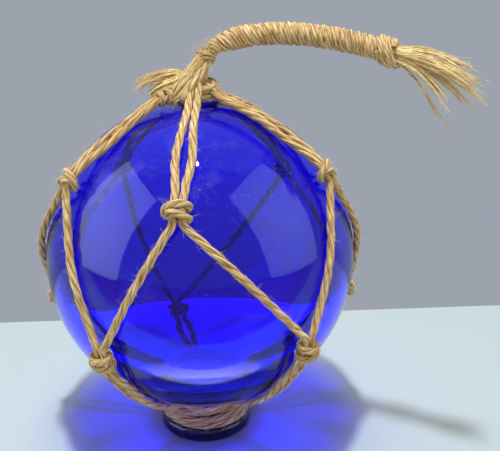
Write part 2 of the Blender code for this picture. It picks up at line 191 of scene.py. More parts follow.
# %% [markdown]
# ## Table, light and surroundings
#
# Clear glass has no look of its own: it shows what is behind it and mirrors what is in front. So
# the stage matters as much as the material. A pale table ends a little behind the ball, and a plain
# grey-blue world stands behind it. The table has four more tones: a bluer, brighter one for what is
# seen through the glass, which is painted light, a painted grey shade beside the foot and a painted
# dark shadow under it, which only the glass shows, and one for the floor in front of the table,
# which only mirrors show.

# %% Build the table

TABLE_COLOUR = (0.58, 0.68, 0.665, 1)
# Painted light: where the glass shows the table, it is bluer and brighter than its lighting makes it.
PAINTED_LIGHT_THROUGH_GLASS = (0.62, 0.62, 1.45, 1)
# Painted shade: a ring round the foot, darkest in the blue.
PAINTED_SHADE_BESIDE_FOOT = (0.50, 0.52, 0.20, 1)
# Painted shadow: the table under the foot, as the glass shows it, is nearly black.
PAINTED_SHADOW_UNDER_FOOT = (0.10, 0.08, 0.14, 1)
ROOM_FLOOR = (0.42, 0.22, 0.42, 1)
SHADE_REACH = 36 * MM
UNDER_FOOT = FOOT_RADIUS + 1 * MM
TABLE_BACK = 126 * MM
TABLE_FRONT = -150 * MM
TABLE_HALF_WIDTH = 1.6
TABLE_HALF_DEPTH = 0.7

table_mesh = bpy.data.meshes.new("table")
bm = bmesh.new()
bmesh.ops.create_grid(bm, x_segments=1, y_segments=1, size=1.0)
bmesh.ops.scale(bm, verts=bm.verts, vec=(TABLE_HALF_WIDTH, TABLE_HALF_DEPTH, 1))
bmesh.ops.translate(bm, verts=bm.verts, vec=(0, TABLE_BACK - TABLE_HALF_DEPTH, 0))
bm.to_mesh(table_mesh)
bm.free()
table = bpy.data.objects.new("table", table_mesh)
bpy.context.scene.collection.objects.link(table)

pale_table, table_shader = principled("pale_table", TABLE_COLOUR, 0.5)
tree = pale_table.node_tree
ray = add_node(tree, "ShaderNodeLightPath").outputs
place = add_node(tree, "ShaderNodeTexCoord").outputs["Object"]
split = add_node(tree, "ShaderNodeSeparateXYZ", [(place, "Vector")])
from_foot = add_node(tree, "ShaderNodeVectorMath", [(place, 0)], operation="LENGTH").outputs["Value"]
# Painted shadow under the foot, for rays through the glass.
under_foot = calculate(tree, "LESS_THAN", from_foot, UNDER_FOOT)
# Painted shade beside the foot, fading out with the distance from it.
beside_foot = map_range(tree, from_foot, (SHADE_REACH, UNDER_FOOT), interpolation="SMOOTHSTEP")
before_edge = calculate(tree, "LESS_THAN", split.outputs["Y"], TABLE_FRONT)
mirrored_floor = calculate(tree, "MULTIPLY", before_edge, ray["Is Glossy Ray"])
# Painted light for rays through the glass, with the painted shadow under the foot.
seen_through = mix_colours(tree, under_foot, PAINTED_LIGHT_THROUGH_GLASS, PAINTED_SHADOW_UNDER_FOOT)
seen_straight = mix_colours(tree, beside_foot, TABLE_COLOUR, PAINTED_SHADE_BESIDE_FOOT)
colour = mix_colours(tree, ray["Is Transmission Ray"], seen_straight, seen_through)
colour = mix_colours(tree, mirrored_floor, colour, ROOM_FLOOR)
tree.links.new(colour, table_shader.inputs["Base Color"])
table_mesh.materials.append(pale_table)
print(f"table {2 * TABLE_HALF_WIDTH:.1f} m wide, its far edge {1000 * TABLE_BACK:.0f} mm behind the ball")

# %% [markdown]
# The world is the wall. Seen through the glass it is bluer and falls off towards the table, and as a
# source of light it is dim, because the room is darker than the wall. Two large soft boxes at the
# sides draw the pale window shapes on the glass, and a small lamp overhead throws the blue pool on
# the table. A softer box beside that lamp keeps the pool's edge from being too hard, and another in
# front lights only the twine. Light linking keeps some lamps off the table or out of the glass: a
# studio would do that with flags and black cards.

# %% Set the world and the lamps

WALL_COLOUR = (0.335, 0.365, 0.420, 1)
THROUGH_LOW = (0.26, 0.27, 0.42, 1)
THROUGH_HIGH = (0.31, 0.34, 0.86, 1)
THROUGH_SLOPES = (-0.38, -0.16)
DIM_COLOUR = (0.20, 0.19, 0.25, 1)

world = bpy.data.worlds.new("plain_wall")
bpy.context.scene.world = world
world.use_nodes = True
tree = world.node_tree
ray = add_node(tree, "ShaderNodeLightPath").outputs
direction = add_node(tree, "ShaderNodeTexCoord").outputs["Generated"]
slope = add_node(tree, "ShaderNodeSeparateXYZ", [(direction, "Vector")]).outputs["Z"]
through = mix_colours(tree, map_range(tree, slope, THROUGH_SLOPES), THROUGH_LOW, THROUGH_HIGH)
colour = mix_colours(tree, ray["Is Transmission Ray"], WALL_COLOUR, through)
colour = mix_colours(tree, ray["Diffuse Depth"], colour, DIM_COLOUR)
tree.links.new(colour, tree.nodes["Background"].inputs["Color"])
bpy.context.scene.view_settings.view_transform = "Standard"


def add_lamp(name, place, size, power, colour=(1, 1, 1), shape="RECTANGLE", spread=180):
    """An area lamp that faces the ball. It lights and is mirrored, but the camera doesn't see it."""
    data = bpy.data.lights.new(name, "AREA")
    data.shape = shape
    data.size = size[0]
    data.size_y = size[1]
    data.energy = power
    data.spread = math.radians(spread)
    data.color = colour
    lamp = bpy.data.objects.new(name, data)
    bpy.context.scene.collection.objects.link(lamp)
    lamp.location = place
    lamp.rotation_euler = (CENTRE - Vector(place)).to_track_quat("-Z", "Y").to_euler()
    lamp.visible_camera = False
    return lamp


def keep_off_table(lamp):
    """Let a lamp light everything but the table, so that the glass's shadow stays deep."""
    linked = bpy.data.collections.new(lamp.name + "_lights")
    linked.objects.link(table)
    lamp.light_linking.receiver_collection = linked
    linked.collection_objects[0].light_linking.link_state = "EXCLUDE"


def keep_off_glass(lamp):
    """Let a lamp light the scene without being seen in the glass."""
    lamp.visible_glossy = False
    lamp.visible_transmission = False


add_lamp("overhead_lamp", (-0.06, -0.15, 1.41), (0.095, 0.095), 12.2, (0.90, 0.95, 1.18), "DISK")
overhead_box = add_lamp("overhead_box", (-0.04, 0.0, 1.90), (0.62, 0.62), 12.2, (1.10, 1.02, 0.62))
add_lamp("ceiling", (0.0, 0.45, 1.95), (2.6, 1.6), 2.6, (0.90, 0.98, 1.0))
front_fill = add_lamp("front_fill", (0.45, -1.10, 0.35), (0.9, 0.9), 3.2, (1.0, 0.95, 0.90))
left_window = add_lamp(
    "left_window", (-0.88, -0.16, 0.47), (0.84, 1.16), 3.0, (0.84, 0.97, 1.0), spread=120)
right_window = add_lamp(
    "right_window", (0.84, -0.36, 0.56), (0.88, 1.30), 2.3, (0.80, 0.97, 1.0), spread=120)
for lamp in (overhead_box, front_fill):
    keep_off_glass(lamp)
for lamp in (front_fill, left_window, right_window):
    keep_off_table(lamp)

# %% [markdown]
# ## Finishes
#
# Six finishes cover the object: the glass, the thick twine of the net, the same twine in the knots
# and a darker copy of it, with painted shade, in the collar, the thinner whipping twine, and loose
# fibre. The cord finishes read the cord's own UV map, whose U runs along the cord in metres and
# whose V runs once round it. So the streaks lie along the plies, wherever the cord goes.

# %% [markdown]
# ### Jute
#
# Jute is a bast fibre of pale gold and brown fibres. A stretched noise makes the fibres, a second one
# makes the broad patches of paler and browner yarn, and the sine of the place round the cord paints
# shade into the grooves between the plies.

# %% Define the jute finish

FIBRE_STOPS = (0.34, 0.49, 0.62)
PATCH_STOPS = [(0.30, (0.80, 0.74, 0.66)), (0.70, (1.0, 1.0, 1.0))]
GROOVE_WIDTH = (0.05, 0.42)


def jute_finish(name, dark, middle, pale, plies, groove_shade, fibre_length, fibres_round, skew, bump):
    """Twisted bast fibre on a cord's UV map, streaked along the plies, with painted shade in the grooves."""
    material, shader = principled(name, (*middle, 1), 0.85)
    tree = material.node_tree
    uv = add_node(tree, "ShaderNodeUVMap", uv_map="UVMap")
    split = add_node(tree, "ShaderNodeSeparateXYZ", [(uv.outputs[0], "Vector")])
    along, round_it = split.outputs["X"], split.outputs["Y"]
    turned = calculate(tree, "ADD", round_it, calculate(tree, "MULTIPLY", along, skew))
    across_fibre = calculate(tree, "MULTIPLY", turned, fibres_round)
    down_fibre = calculate(tree, "DIVIDE", along, fibre_length)
    place = add_node(tree, "ShaderNodeCombineXYZ", [(across_fibre, "X"), (down_fibre, "Y")]).outputs[0]
    fibres = add_node(tree, "ShaderNodeTexNoise", [(place, "Vector")], Scale=1.0, Detail=3.0, Roughness=0.6)
    fibre_tone = colour_ramp(tree, fibres.outputs["Fac"], list(zip(FIBRE_STOPS, (dark, middle, pale))))

    where = add_node(tree, "ShaderNodeTexCoord").outputs["Object"]
    patches = add_node(tree, "ShaderNodeTexNoise", [(where, "Vector")], Scale=90.0, Detail=2.0)
    patch_tone = colour_ramp(tree, patches.outputs["Fac"], PATCH_STOPS)
    toned = mix_colours(tree, 1.0, fibre_tone, patch_tone, "MULTIPLY")

    # Painted shade: the grooves between the plies are darkened by the sine of the place round the cord.
    ply_wave = calculate(tree, "SINE", calculate(tree, "MULTIPLY", round_it, math.pi * plies))
    ply_crown = calculate(tree, "ABSOLUTE", ply_wave)
    groove = map_range(tree, ply_crown, GROOVE_WIDTH, (groove_shade, 1.0))
    tree.links.new(mix_colours(tree, 1.0, toned, groove, "MULTIPLY"), shader.inputs["Base Color"])

    gloss = map_range(tree, fibres.outputs["Fac"], to_range=(0.95, 0.62))
    tree.links.new(gloss, shader.inputs["Roughness"])
    ridge = add_node(tree, "ShaderNodeBump", [(fibres.outputs["Fac"], "Height")],
                     Strength=bump, Distance=0.4 * MM)
    tree.links.new(ridge.outputs["Normal"], shader.inputs["Normal"])
    shader.inputs["Sheen Weight"].default_value = 0.15
    shader.inputs["Specular IOR Level"].default_value = 0.35
    return material


TWINE = jute_finish(
    "jute_twine", (0.300, 0.150, 0.045), (0.610, 0.390, 0.140), (0.860, 0.660, 0.325),
    plies=3, groove_shade=0.42, fibre_length=8 * MM, fibres_round=15, skew=-25, bump=1.0)
WHIPPING = jute_finish(
    "whipping_twine", (0.300, 0.150, 0.050), (0.650, 0.420, 0.155), (0.880, 0.680, 0.340),
    plies=6, groove_shade=0.46, fibre_length=6 * MM, fibres_round=14, skew=-20, bump=0.9)
KNOT_TWINE = jute_finish(
    "knotted_twine", (0.240, 0.120, 0.035), (0.600, 0.380, 0.135), (0.880, 0.675, 0.335),
    plies=3, groove_shade=0.36, fibre_length=6 * MM, fibres_round=17, skew=-34, bump=1.6)
# Painted shade: a darker copy of the net's twine, for the collar beneath the ball.
SHADED_COLLAR_TWINE = jute_finish(
    "shaded_collar_twine", (0.190, 0.095, 0.050), (0.440, 0.255, 0.130), (0.680, 0.470, 0.270),
    plies=3, groove_shade=0.36, fibre_length=8 * MM, fibres_round=15, skew=-25, bump=1.2)
FIBRE = jute_finish(
    "loose_fibre", (0.600, 0.385, 0.130), (0.900, 0.665, 0.280), (1.000, 0.860, 0.470),
    plies=2, groove_shade=0.75, fibre_length=12 * MM, fibres_round=6, skew=0, bump=0.3)

# %% [markdown]
# ### Cobalt glass
#
# The colour is in the glass and not on it. A white shader lets all light in, and the absorption
# inside takes out red and green along the way. So a thick place is nearly black and a thin one is
# a vivid blue, as in a real hand-blown float. For shadow rays the surface is plain transparent:
# the light then goes straight through the walls, is tinted by them and throws the blue pool.

# %% Define the glass finish

STRAIGHT_TINT = (0.97, 0.94, 1.04, 1)
DUST_COLOUR = (0.80, 0.83, 0.95, 1)


def glass_finish(name, absorbed, density):
    """Clear coloured glass with blown waves, fine dust and faint smudges."""
    material, shader = principled(name, (0.97, 0.98, 1.0, 1), 0.0)
    shader.inputs["Transmission Weight"].default_value = 1.0
    shader.inputs["IOR"].default_value = 1.5
    tree = material.node_tree
    place = add_node(tree, "ShaderNodeTexCoord").outputs["Object"]
    dust = add_node(tree, "ShaderNodeTexVoronoi", [(place, "Vector")], Scale=640.0, Randomness=1.0)
    haze = add_node(tree, "ShaderNodeTexNoise", [(place, "Vector")], Scale=24.0, Detail=5.0)
    speck = map_range(tree, dust.outputs["Distance"], (0.13, 0.05))
    dusty = map_range(tree, haze.outputs["Fac"], (0.46, 0.72))
    dust_amount = calculate(tree, "MULTIPLY", speck, dusty)
    tree.links.new(map_range(tree, dust_amount, to_range=(0.0, 0.45)), shader.inputs["Roughness"])
    waves = add_node(tree, "ShaderNodeTexNoise", [(place, "Vector")], Scale=22.0, Detail=1.0)
    wavy = add_node(tree, "ShaderNodeBump", [(waves.outputs["Fac"], "Height")],
                    Strength=0.35, Distance=1.2 * MM)
    tree.links.new(wavy.outputs["Normal"], shader.inputs["Normal"])

    smudges = add_node(tree, "ShaderNodeTexNoise", [(place, "Vector")],
                       Scale=26.0, Detail=6.0, Distortion=1.8)
    smudged = map_range(tree, smudges.outputs["Fac"], (0.56, 0.80), (0.0, 0.05))
    lint = add_node(tree, "ShaderNodeBsdfDiffuse", Color=DUST_COLOUR)
    dusted = add_node(tree, "ShaderNodeMixShader", [(calculate(tree, "ADD", dust_amount, smudged), 0)])
    tree.links.new(shader.outputs[0], dusted.inputs[1])
    tree.links.new(lint.outputs[0], dusted.inputs[2])

    shadow_ray = add_node(tree, "ShaderNodeLightPath").outputs["Is Shadow Ray"]
    straight = add_node(tree, "ShaderNodeBsdfTransparent", Color=STRAIGHT_TINT)
    mixed = add_node(tree, "ShaderNodeMixShader", [(shadow_ray, 0)])
    tree.links.new(dusted.outputs[0], mixed.inputs[1])
    tree.links.new(straight.outputs[0], mixed.inputs[2])
    output = tree.nodes["Material Output"]
    tree.links.new(mixed.outputs[0], output.inputs["Surface"])
    absorption = add_node(tree, "ShaderNodeVolumeAbsorption", Color=absorbed, Density=density)
    tree.links.new(absorption.outputs[0], output.inputs["Volume"])
    return material


GLASS = glass_finish("cobalt_glass", (0.22, 0.0, 0.950, 1), 600.0)

# %% [markdown]
# ## The glass
#
# The real float is one hollow piece with a waist and a solid foot. Two half profiles are spun round
# the Z axis with the spin operator: the outside, from the foot to the top, and the air space. The
# air space faces inwards, because the glass lies between the two. Its floor is thick, as hot glass
# sinks, and this makes the dark band low on the ball.

# %% Spin the glass

GLASS_WALL = 3.7 * MM
GLASS_BOTTOM = 12 * MM
GLASS_STEPS = 144
BALL_RINGS = 80
FOOT_EDGE = 2 * MM
FOOT_EDGE_STEPS = 6
WAIST_FILLET = 1 * MM
MERGE_DISTANCE = 0.001 * MM


def arc(centre, radius, start, end, steps):
    """Points (across, height) on an arc, angles in degrees from level. No steps give one point."""
    points = []
    for step in range(steps + 1):
        angle = math.radians(start + (end - start) * step / max(steps, 1))
        points.append((centre[0] + radius * math.cos(angle), centre[1] + radius * math.sin(angle)))
    return points


def spin_profile(bm, points):
    """Spin a half profile about the Z axis and return the new faces, facing outwards."""
    before = set(bm.faces)
    verts = [bm.verts.new((across, 0, height)) for across, height in points]
    edges = [bm.edges.new(pair) for pair in zip(verts, verts[1:])]
    bmesh.ops.spin(bm, geom=verts + edges, cent=(0, 0, 0), axis=(0, 0, 1),
                   angle=2 * math.pi, steps=GLASS_STEPS, use_merge=True)
    bmesh.ops.remove_doubles(bm, verts=bm.verts, dist=MERGE_DISTANCE)
    faces = [face for face in bm.faces if face not in before]
    bmesh.ops.recalc_face_normals(bm, faces=faces)
    return faces


def add_piece(name, mesh, slot, *nodes):
    """Put a finished mesh in the scene as a piece that rides on the part and stands for its solids."""
    piece = bpy.data.objects.new(name, mesh)
    bpy.context.scene.collection.objects.link(piece)
    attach(piece, "root")
    if nodes:
        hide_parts(*nodes)
    return piece


def glass_piece(name, profiles, material, *nodes):
    """Spin closed profiles into one glass mesh. Every profile after the first is a hollow in it."""
    mesh = bpy.data.meshes.new(name)
    bm = bmesh.new()
    for index, profile in enumerate(profiles):
        faces = spin_profile(bm, profile)
        if index:
            bmesh.ops.reverse_faces(bm, faces=faces)
    bm.to_mesh(mesh)
    bm.free()
    mesh.shade_smooth()
    mesh.materials.append(material)
    print(name, "has", len(mesh.polygons), "faces")
    return add_piece(name, mesh, "glass", *nodes)


def smooth_step(value):
    """Keep a value between 0 and 1, with a soft start and a soft end."""
    share = min(max(value, 0), 1)
    return share * share * (3 - 2 * share)


def wall_at(latitude):
    """Thickness of the blown wall, which has sunk towards the bottom."""
    sunk = smooth_step((-math.sin(math.radians(latitude)) - 0.6) / 0.4)
    return GLASS_WALL + (GLASS_BOTTOM - GLASS_WALL) * sunk


foot_inner = FOOT_RADIUS - FOOT_EDGE
joins_ball = -math.degrees(math.acos(WAIST_RADIUS / BALL_RADIUS))
outside = [(0.0, 0.0)]
outside += arc((foot_inner, FOOT_EDGE), FOOT_EDGE, -90, 0, FOOT_EDGE_STEPS)
outside += arc((foot_inner, FOOT_HEIGHT - FOOT_EDGE), FOOT_EDGE, 0, 90, FOOT_EDGE_STEPS)
outside += [(WAIST_RADIUS + WAIST_FILLET, FOOT_HEIGHT), (WAIST_RADIUS, FOOT_HEIGHT + WAIST_FILLET)]
outside += arc((0.0, CENTRE.z), BALL_RADIUS, joins_ball, 90, BALL_RINGS)
air = []
for ring in range(BALL_RINGS + 1):
    latitude = -90 + 180 * ring / BALL_RINGS
    air += arc((0.0, CENTRE.z), BALL_RADIUS - wall_at(latitude), latitude, latitude, 0)
outside[-1] = (0.0, outside[-1][1])
air[0], air[-1] = (0.0, air[0][1]), (0.0, air[-1][1])
glass_ball = glass_piece("glass_ball_shell", [outside, air], GLASS, "glass_ball")

# %% [markdown]
# Four small lights work only on the glass. Two cards on the table in front, one inside the other,
# draw the pale crescent low on the ball and let it fade upwards. Two blue discs in the waist stand
# for the light that the real ball gathers there, which hides its foot from above.

# %% Light the glass from below

CARD_COLOUR = (0.95, 1.0, 1.0)
GLOW_COLOUR = (0.03, 0.01, 1.0)


def light_glass_from_below(name, place, size, power, colour, shape, spread):
    """A lamp that faces up and works on the glass alone."""
    lamp = add_lamp(name, place, size, power, colour, shape, spread)
    lamp.rotation_euler = (math.pi, 0, 0)
    only_glass = bpy.data.collections.new(name + "_lights")
    only_glass.objects.link(glass_ball)
    lamp.light_linking.receiver_collection = only_glass


cards = (("front_card", -0.080, (0.13, 0.026), 0.0052), ("soft_card", -0.095, (0.20, 0.058), 0.0044))
for name, forward, size, power in cards:
    light_glass_from_below(name, (-0.010, forward, 0.001), size, power, CARD_COLOUR, "RECTANGLE", 60)
glows = (("wide_glow", 0.0247, 0.0555, 0.0030), ("inner_glow", 0.0248, 0.047, 0.0032))
for name, height, width, power in glows:
    light_glass_from_below(name, (0.0, 0.0, height), (width, width), power, GLOW_COLOUR, "DISK", 110)

# %% [markdown]
# ## How a twisted cord is made
#
# Three-ply twine is three yarns that turn round each other. Here it is one sweep: a trefoil
# cross-section goes along the cord's line, and each point's tilt turns it a little further. Blender's
# bevelled curve does that, and it also gives the UV map that the jute finish reads.

# %% Sweep helpers

TWIST_PITCH = 25 * MM
KNOT_TWIST_PITCH = 18 * MM
RING_MERGE_DISTANCE = 0.0001 * MM


def ply_section(name, plies, points_each, offset):
    """A closed cross-section of round plies, of radius 1. Its first point lies in a groove."""
    curve = bpy.data.curves.new(name, "CURVE")
    spline = curve.splines.new("POLY")
    count = plies * points_each
    spline.points.add(count - 1)
    for index, point in enumerate(spline.points):
        angle = -2 * math.pi * index / count
        from_groove = math.radians(180 / plies) - (-angle) % (2 * math.pi / plies)
        ply_radius = 1 - offset
        reach = offset * math.cos(from_groove)
        reach += math.sqrt(ply_radius**2 - (offset * math.sin(from_groove))**2)
        point.co = (reach * math.cos(angle), reach * math.sin(angle), 0, 1)
    spline.use_cyclic_u = True
    section = bpy.data.objects.new(name, curve)
    bpy.context.scene.collection.objects.link(section)
    section.hide_render = True
    return section


def smooth_path(rows, spacing):
    """A smooth line through (x, y, z, radius) rows, read at even steps."""
    rows = np.array([tuple(row) for row in rows], float)
    rows = np.vstack([2 * rows[0] - rows[1], rows, 2 * rows[-1] - rows[-2]])
    share = np.linspace(0, 1, 10, endpoint=False)[:, None]
    fine = []
    for p0, p1, p2, p3 in zip(rows, rows[1:], rows[2:], rows[3:]):
        bend = 2 * p0 - 5 * p1 + 4 * p2 - p3
        ease = 3 * p1 - p0 - 3 * p2 + p3
        fine.append(0.5 * (2 * p1 + (p2 - p0) * share + bend * share**2 + ease * share**3))
    fine = np.vstack(fine + [rows[-2:-1]])
    run = np.concatenate([[0], np.cumsum(np.linalg.norm(np.diff(fine[:, :3], axis=0), axis=1))])
    at = np.linspace(0, run[-1], max(3, round(run[-1] / spacing)) + 1)
    return np.stack([np.interp(at, run, column) for column in fine.T], 1)


def path_length(path):
    """Length of a line of (x, y, z, radius) rows."""
    return float(np.linalg.norm(np.diff(path[:, :3], axis=0), axis=1).sum())


def sweep_mesh(name, paths, section, pitch, material, start_turns=0.0):
    """Sweep a section along each path, turning once each pitch, into one closed smooth mesh."""
    curve = bpy.data.curves.new(name, "CURVE")
    curve.dimensions = "3D"
    curve.use_fill_caps = True
    if section is None:
        curve.bevel_depth = 1.0
        curve.bevel_resolution = 0
    else:
        curve.bevel_mode = "OBJECT"
        curve.bevel_object = section
    lengths = []
    for path in paths:
        spline = curve.splines.new("POLY")
        spline.points.add(len(path) - 1)
        spline.points.foreach_set("co", np.column_stack([path[:, :3], np.ones(len(path))]).ravel())
        spline.points.foreach_set("radius", path[:, 3].copy())
        lengths.append(path_length(path))
        if pitch:
            turns = np.linspace(0, lengths[-1] / pitch, len(path)) + start_turns
            spline.points.foreach_set("tilt", turns * -2 * math.pi)
    swept = bpy.data.objects.new(name, curve)
    bpy.context.scene.collection.objects.link(swept)
    graph = bpy.context.evaluated_depsgraph_get()
    mesh = bpy.data.meshes.new_from_object(swept.evaluated_get(graph))
    bpy.data.objects.remove(swept)
    mesh.name = name
    uv = np.zeros(2 * len(mesh.loops), np.float32)
    layer = mesh.uv_layers[0].data
    layer.foreach_get("uv", uv)
    uv[0::2] *= sum(lengths) / len(lengths)
    layer.foreach_set("uv", uv)
    bm = bmesh.new()
    bm.from_mesh(mesh)
    bmesh.ops.remove_doubles(bm, verts=bm.verts, dist=RING_MERGE_DISTANCE)
    bmesh.ops.recalc_face_normals(bm, faces=bm.faces)
    bm.to_mesh(mesh)
    bm.free()
    mesh.shade_smooth()
    mesh.materials.clear()
    mesh.materials.append(material)
    return mesh


def add_cords(name, paths, section, pitch, material, slot, *nodes, start_turns=0.0):
    """Sweep cords and put them in the scene as one piece that stands for its solids."""
    add_piece(name, sweep_mesh(name, paths, section, pitch, material, start_turns), slot, *nodes)


THREE_PLY = ply_section("three_ply", 3, 9, 0.36)
SIX_PLY = ply_section("six_ply", 6, 5, 0.62)
YARN = ply_section("yarn", 2, 5, 0.35)

# %% [markdown]
# ## The net's cords
#
# Each cord runs from the crown to the collar. Between knots it is taut, so it takes the shortest
# way over the ball: a great circle, lifted off the glass where a knot holds it up. In the knots the
# two cords lie side by side. The same few rules place all ten.

# %% Place on the ball, and taut spans

PAIR_SLIT = 1.6 * MM


def ball_frame(azimuth, latitude):
    """Right, downhill and outward unit vectors at a place on the ball."""
    turn, rise = math.radians(azimuth), math.radians(latitude)
    right = Vector((math.cos(turn), math.sin(turn), 0))
    level = Vector((math.sin(turn), -math.cos(turn), 0))
    normal = level * math.cos(rise) + Vector((0, 0, math.sin(rise)))
    return right, right.cross(normal), normal


def on_knot(azimuth, latitude, x, y, z):
    """A point in a knot's own frame: right, downhill and outward from between its cords, in mm."""
    right, down, normal = ball_frame(azimuth, latitude)
    middle = CENTRE + normal * (BALL_RADIUS + KNOT_LIFT)
    return middle + (right * x + down * y + normal * z) * MM


def taut_span(start, end, steps):
    """Points of a taut cord over the ball between two places at or above its surface."""
    first, last = start - CENTRE, end - CENTRE
    arc_angle = first.angle(last)
    points = []
    for step in range(1, steps):
        share = step / steps
        way = first.normalized().slerp(last.normalized(), share)
        reach = CORD_PATH_RADIUS
        for raised, angle in ((first.length, arc_angle * share), (last.length, arc_angle * (1 - share))):
            leaves = math.acos(min(CORD_PATH_RADIUS / raised, 1.0))
            reach = max(reach, CORD_PATH_RADIUS / math.cos(max(leaves - angle, 0.0)))
        points.append((CENTRE + way * reach, share))
    return points


def pair_span(start, end, side, azimuth, slit_peak, steps=14):
    """One cord of a pair between two places: the two touch at the ends and part in between."""
    right = ball_frame(azimuth, 0)[0]
    rows = []
    for point, share in taut_span(start, end, steps):
        opening = math.sin(math.pi * share ** (math.log(0.5) / math.log(slit_peak))) ** 2
        aside = TWINE_RADIUS + PAIR_SLIT * opening
        rows.append((*(point + right * side * aside), TWINE_RADIUS))
    return rows


# %% [markdown]
# One knot of the net is tied like this: the left cord runs straight through under the turns, and
# the right one dips under the first turn and humps out over the second. The knot's own twine makes
# one slanting turn across the top, a bulge on the left, and a second turn that slants back.

# %% Routes of the cords

SIDE_KNOT_PAIR = 1
FRONT_PAIR = 2
KNOT_SPREAD = 1.75
SIDE_KNOT_LATITUDE = math.degrees(math.acos(17.8 * MM / (BALL_RADIUS + KNOT_LIFT)))


def knot_rows(azimuth, latitude, side, hump):
    """A cord's way through a knot, as rows down the knot's length."""
    rows = []
    for y, x, z, size in ((-6.2, 1.05, -0.6, 0.95), (-3.6, 1.0, 0.0, 0.86), (-0.6, 1.0, 0.3 * hump, 0.84),
                          (2.2, 1.15, 1.0 * hump, 0.86), (5.4, 1.3, -0.2, 0.95)):
        rows.append((*on_knot(azimuth, latitude, side * KNOT_SPREAD * x, y, z), TWINE_RADIUS * size))
    return rows


def crown_point(azimuth, side, reach, height, aside=1.0):
    """A place beside the crown's middle, at a reach and a height over the ball's top, in mm."""
    right, _, level = ball_frame(azimuth, 0)
    over_ball = Vector((0, 0, BALL_TOP + height * MM))
    return level * reach * MM + right * side * TWINE_RADIUS * aside + over_ball


def pair_middle(azimuth, latitude, y):
    """The middle between a knot's two cords, at a run downhill in mm."""
    return on_knot(azimuth, latitude, 0, y, -0.4)


def cord_path(pair, side):
    """One cord's whole line from the crown to the collar."""
    azimuth, latitude = UPPER_KNOTS[pair]
    low = LOWER_KNOTS[pair if side > 0 else pair - 1]
    rows = []
    if pair == SIDE_KNOT_PAIR:
        for reach, height, aside in ((7.0, 7.4, 0.7), (11.5, 6.6, 0.8)):
            rows.append((*crown_point(azimuth, side, reach, height, aside), TWINE_RADIUS * 0.8))
        for y in (-1, 4):
            rows.append((*on_knot(azimuth, SIDE_KNOT_LATITUDE, side * 1.6, y, 0), TWINE_RADIUS * 0.82))
        start = pair_middle(azimuth, SIDE_KNOT_LATITUDE, 5.5)
    else:
        forward = 2.2 if pair == FRONT_PAIR else 0.0
        for reach, height, aside, size in ((2.6, 6.4 + 0.5 * forward, 0.7, 0.85),
                                           (4.4, 8.6 + 0.5 * forward, 0.8, 0.95), (7.0, 7.4, 0.9, 1.0)):
            spot = crown_point(azimuth, side, reach + forward, height, aside)
            rows.append((*spot, TWINE_RADIUS * size))
        start = crown_point(azimuth, 0, 9.0 + forward, 4.0)
    rows += pair_span(start, pair_middle(azimuth, latitude, -7.5), side, azimuth, 0.70)
    rows += knot_rows(azimuth, latitude, side, 1.0 if side > 0 else 0.0)
    entry = on_knot(*low, -side * 3.0, -7.6, -1.4)
    rows += [(*point, TWINE_RADIUS) for point, share in taut_span(Vector(rows[-1][:3]), entry, 12)]
    rows += knot_rows(*low, -side, 1.0 if side < 0 else 0.0)
    rows += pair_span(pair_middle(*low, 7.5), collar_entry(low[0]), -side, low[0], 0.35)
    rows += collar_rows(low[0], -side)
    return smooth_path(rows, 0.75 * MM)


def collar_entry(azimuth):
    """The middle of a pair where it comes down against the waist."""
    level = ball_frame(azimuth, 0)[2]
    inner = WAIST_RADIUS + 5.0 * MM
    return CENTRE + level * inner - Vector((0, 0, math.sqrt(CORD_PATH_RADIUS**2 - inner**2)))


def collar_rows(azimuth, side):
    """The cord's end: it turns into the collar and follows it a little way round the waist."""
    rows = []
    for turn, height, reach in ((6, -1.0, 3.4), (16, -2.2, 2.6), (28, -3.2, 2.2), (42, -4.4, 2.0)):
        level = ball_frame(azimuth + side * turn, 0)[2]
        spot = level * (WAIST_RADIUS + reach * MM) + Vector((0, 0, COLLAR_TOP + (2.6 + height) * MM))
        rows.append((*spot, TWINE_RADIUS * 0.85))
    return rows


NET_PATHS = {}
for pair in range(5):
    for side, word in ((-1, "left"), (1, "right")):
        path = cord_path(pair, side)
        label = f"{pair + 1}_{word}"
        NET_PATHS[label] = path
        add_cords(f"net_twine_{label}", [path], THREE_PLY, TWIST_PITCH, TWINE, "twine",
                  f"net_cord_{label}", start_turns=0.13 * pair)
print("net cords in mm:", [round(1000 * path_length(path)) for path in NET_PATHS.values()])

# %% [markdown]
# The knot's own twine is a third cord. Its line is a short table of points in the knot's frame, tied
# once and used for all ten knots. Mirroring the table left to right or top to bottom gives the four
# ways in which a hand ties it, so the knots aren't copies of each other. Its plies turn faster than
# the net's, because twine that is pulled into a small turn twists up.

# %% Tie the knots

KNOT_TURNS = [
    (3.0, -1.2, -2.6, 0.72), (4.6, -2.6, -0.6, 0.82), (3.6, -3.6, 1.8, 0.85), (0.6, -3.5, 3.0, 0.9),
    (-2.6, -2.7, 3.0, 0.92), (-5.2, -1.2, 1.8, 0.92), (-5.8, 0.7, -0.4, 0.88), (-4.0, 2.2, -2.5, 0.75),
    (-0.5, 2.8, -3.0, 0.70), (3.0, 3.4, -2.2, 0.75), (4.9, 3.3, -0.2, 0.85), (3.4, 2.6, 2.0, 0.88),
    (0.4, 1.6, 3.0, 0.90), (-2.6, 0.6, 2.9, 0.88), (-4.4, 0.0, 0.9, 0.80), (-4.2, -0.6, -1.2, 0.70),
]
KNOT_WIDTH = 0.93
KNOT_LENGTH = 0.84


